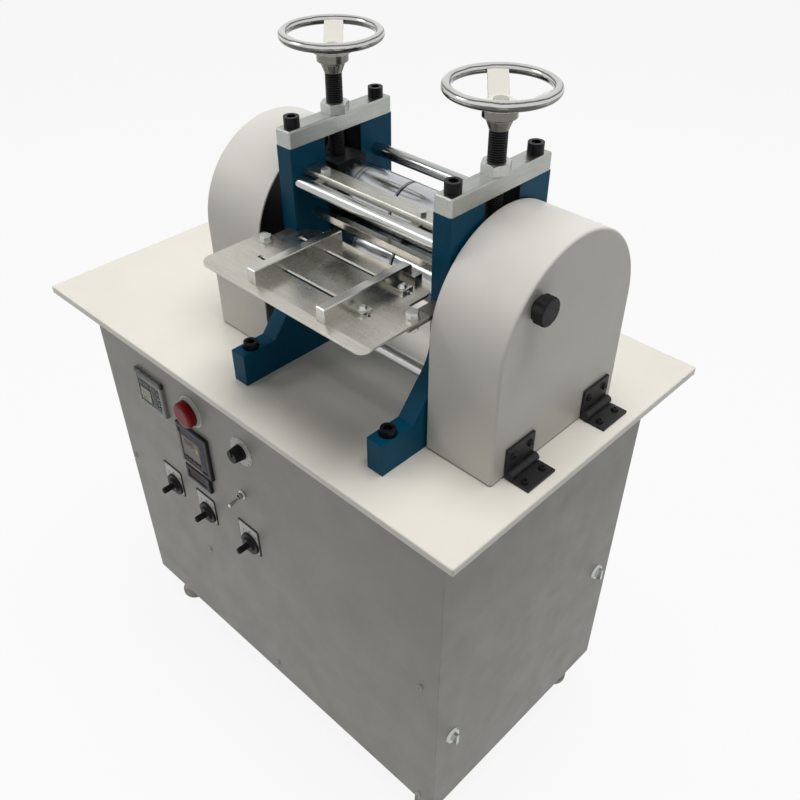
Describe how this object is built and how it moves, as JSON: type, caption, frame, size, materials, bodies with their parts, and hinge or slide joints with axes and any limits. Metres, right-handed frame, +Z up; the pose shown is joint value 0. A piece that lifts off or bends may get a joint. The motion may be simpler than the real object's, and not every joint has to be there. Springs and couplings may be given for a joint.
{
  "type": "leather belt embossing machine",
  "caption": "Motor-driven belt embossing machine: geared rolls in blue side frames with screw-down handwheels, slotted feed table and guards, on a sheet-metal cabinet.",
  "frame": {"origin": "on the floor, under the middle of the table top's rectangle, which is also the middle of the machine's outline", "axes": "+X along the rolls from the gear guard to the chain guard, +Y away from the operator, +Z up"},
  "size_m": [0.8, 0.486, 1.0927],
  "materials": {
    "table_paint": "satin cream paint",
    "cabinet_grey": "fine matt grey powder coat",
    "shop_steel": "plain mill-finish steel, lightly oiled",
    "foot_nylon": "matt olive-beige nylon",
    "zinc_steel": "bright zinc plate",
    "frame_blue": "semi-gloss petrol blue over the casting",
    "ground_steel": "surface-ground steel",
    "black_oxide": "black oxide",
    "polished_steel": "polished hard chrome",
    "bar_aluminium": "drawn aluminium",
    "block_black": "blackened cast iron",
    "stainless": "brushed stainless sheet",
    "guard_grey": "fine pale grey powder coat",
    "hinge_black": "black paint",
    "black_plastic": "moulded black plastic",
    "gearbox_casting": "grey-painted casting",
    "motor_paint": "dark grey motor enamel",
    "gear_steel": "hobbed steel, oiled",
    "chrome_plate": "chrome plate",
    "instrument_grey": "moulded grey plastic",
    "instrument_dark": "dark blue display housing",
    "clear_cover": "clear moulded plastic",
    "button_red": "moulded red plastic"
  },
  "bodies": {
    "cabinet": {"table_top": "table_paint", "front_panel": "cabinet_grey", "back_panel": "cabinet_grey", "left_panel": "cabinet_grey", "right_panel": "cabinet_grey", "floor_pan": "cabinet_grey", "corner_posts": "shop_steel", "levelling_feet": "foot_nylon", "foot_studs": "zinc_steel", "left_side_frame": "frame_blue", "right_side_frame": "frame_blue", "crossbars": "ground_steel", "spindle_nuts": "zinc_steel", "cap_screws": "black_oxide", "tie_rods": "polished_steel", "tie_rod_screws": "black_oxide", "nip_guard_bar": "bar_aluminium", "nip_guard_clamps": "bar_aluminium", "hexagon_bolts": "zinc_steel", "lower_bearing_blocks": "block_black", "feed_table": "stainless", "feed_table_brackets": "stainless", "guide_crossbar": "bar_aluminium", "left_guard": "guard_grey", "hinge_table_leaves": "hinge_black", "motor_shelf": "shop_steel", "gearbox": "gearbox_casting", "motor": "motor_paint", "drive_chain": "shop_steel", "counter_unit": "instrument_grey", "display_unit": "instrument_grey", "meter_unit": "instrument_dark", "switch_collars": "black_plastic", "toggle_bush": "zinc_steel", "cable_gland": "black_plastic"},
    "roll_carriage": {"upper_bearing_blocks": "block_black"},
    "left_spindle": {"left_pressure_screw": "black_oxide", "left_handwheel": "chrome_plate"},
    "right_spindle": {"right_pressure_screw": "black_oxide", "right_handwheel": "chrome_plate"},
    "upper_roll": {"upper_roll": "polished_steel", "upper_gear": "gear_steel"},
    "lower_roll": {"lower_roll": "polished_steel", "lower_gear": "gear_steel", "roll_sprocket": "shop_steel"},
    "drive_pinion": {"drive_pinion": "shop_steel"},
    "right_guard": {"right_guard": "guard_grey", "hinge_guard_leaves": "hinge_black"},
    "guard_knob": {"guard_knob": "black_plastic"},
    "left_guide": {"left_guide_rail": "bar_aluminium"},
    "right_guide": {"right_guide_rail": "bar_aluminium"},
    "stop_button": {"stop_button": "button_red"},
    "selector_a": {"selector_a_knob": "black_plastic"},
    "selector_b": {"selector_b_knob": "black_plastic"},
    "selector_c": {"selector_c_knob": "black_plastic"},
    "speed_knob": {"speed_knob": "black_plastic"},
    "toggle_lever": {"toggle_lever": "chrome_plate"},
    "counter_cover": {"counter_cover": "clear_cover"},
    "front_latch": {"front_latch": "zinc_steel"},
    "back_latch": {"back_latch": "zinc_steel"}
  },
  "joints": [
    {"name": "upper_roll_lift", "type": "slide", "parent": "cabinet", "child": "roll_carriage", "axis": [0, 0, 1], "range_m": [-0.0025, 0.0035]},
    {"name": "left_handwheel_turn", "type": "hinge", "parent": "roll_carriage", "child": "left_spindle", "pos_m": [-0.006, -0.01, 1.08], "axis": [0, 0, 1], "range_deg": [-358, 502]},
    {"name": "right_handwheel_turn", "type": "hinge", "parent": "roll_carriage", "child": "right_spindle", "pos_m": [0.238, -0.01, 1.08], "axis": [0, 0, 1], "range_deg": [-360, 504]},
    {"name": "lower_roll_spin", "type": "hinge", "parent": "cabinet", "child": "lower_roll", "pos_m": [0.116, -0.01, 0.847], "axis": [1, 0, 0], "continuous": true},
    {"name": "upper_roll_spin", "type": "hinge", "parent": "roll_carriage", "child": "upper_roll", "pos_m": [0.116, -0.01, 0.916], "axis": [1, 0, 0], "continuous": true},
    {"name": "drive_pinion_spin", "type": "hinge", "parent": "cabinet", "child": "drive_pinion", "pos_m": [0.291, -0.01, 0.44], "axis": [1, 0, 0], "continuous": true},
    {"name": "right_guard_open", "type": "hinge", "parent": "cabinet", "child": "right_guard", "pos_m": [0.357, 0, 0.707], "axis": [0, 1, 0], "range_deg": [0, 90]},
    {"name": "guard_knob_turn", "type": "hinge", "parent": "right_guard", "child": "guard_knob", "pos_m": [0.36, -0.074, 0.916], "axis": [1, 0, 0], "range_deg": [-180, 180]},
    {"name": "left_guide_slide", "type": "slide", "parent": "cabinet", "child": "left_guide", "axis": [1, 0, 0], "range_m": [-0.02, 0.03]},
    {"name": "right_guide_slide", "type": "slide", "parent": "cabinet", "child": "right_guide", "axis": [1, 0, 0], "range_m": [-0.035, 0.009]},
    {"name": "stop_button_press", "type": "slide", "parent": "cabinet", "child": "stop_button", "axis": [0, 1, 0], "range_m": [0, 0.004], "stiffness_N_per_m": 800},
    {"name": "selector_a_turn", "type": "hinge", "parent": "cabinet", "child": "selector_a", "pos_m": [-0.224, -0.22, 0.382], "axis": [0, -1, 0], "range_deg": [-45, 45]},
    {"name": "selector_b_turn", "type": "hinge", "parent": "cabinet", "child": "selector_b", "pos_m": [-0.136, -0.22, 0.378], "axis": [0, -1, 0], "range_deg": [-45, 45]},
    {"name": "selector_c_turn", "type": "hinge", "parent": "cabinet", "child": "selector_c", "pos_m": [-0.027, -0.22, 0.388], "axis": [0, -1, 0], "range_deg": [-45, 45]},
    {"name": "speed_knob_turn", "type": "hinge", "parent": "cabinet", "child": "speed_knob", "pos_m": [-0.016, -0.215, 0.581], "axis": [0, -1, 0], "range_deg": [-150, 150]},
    {"name": "toggle_flip", "type": "hinge", "parent": "cabinet", "child": "toggle_lever", "pos_m": [-0.028, -0.2065, 0.491], "axis": [-1, 0, 0], "range_deg": [0, 28]},
    {"name": "counter_cover_open", "type": "hinge", "parent": "cabinet", "child": "counter_cover", "pos_m": [-0.233, -0.2079, 0.6034], "axis": [-1, 0, 0], "range_deg": [0, 110]},
    {"name": "front_latch_turn", "type": "hinge", "parent": "cabinet", "child": "front_latch", "pos_m": [0.357, -0.17, 0.25], "axis": [-1, 0, 0], "range_deg": [0, 90]},
    {"name": "back_latch_turn", "type": "hinge", "parent": "cabinet", "child": "back_latch", "pos_m": [0.357, 0.17, 0.318], "axis": [1, 0, 0], "range_deg": [0, 90]}
  ],
  "couplings": [
    {"joint": "upper_roll_lift", "follows": "left_handwheel_turn", "m_per_rad": 0.00039789},
    {"joint": "right_handwheel_turn", "follows": "left_handwheel_turn", "ratio": 1},
    {"joint": "upper_roll_spin", "follows": "lower_roll_spin", "ratio": -1},
    {"joint": "drive_pinion_spin", "follows": "lower_roll_spin", "ratio": 3}
  ]
}
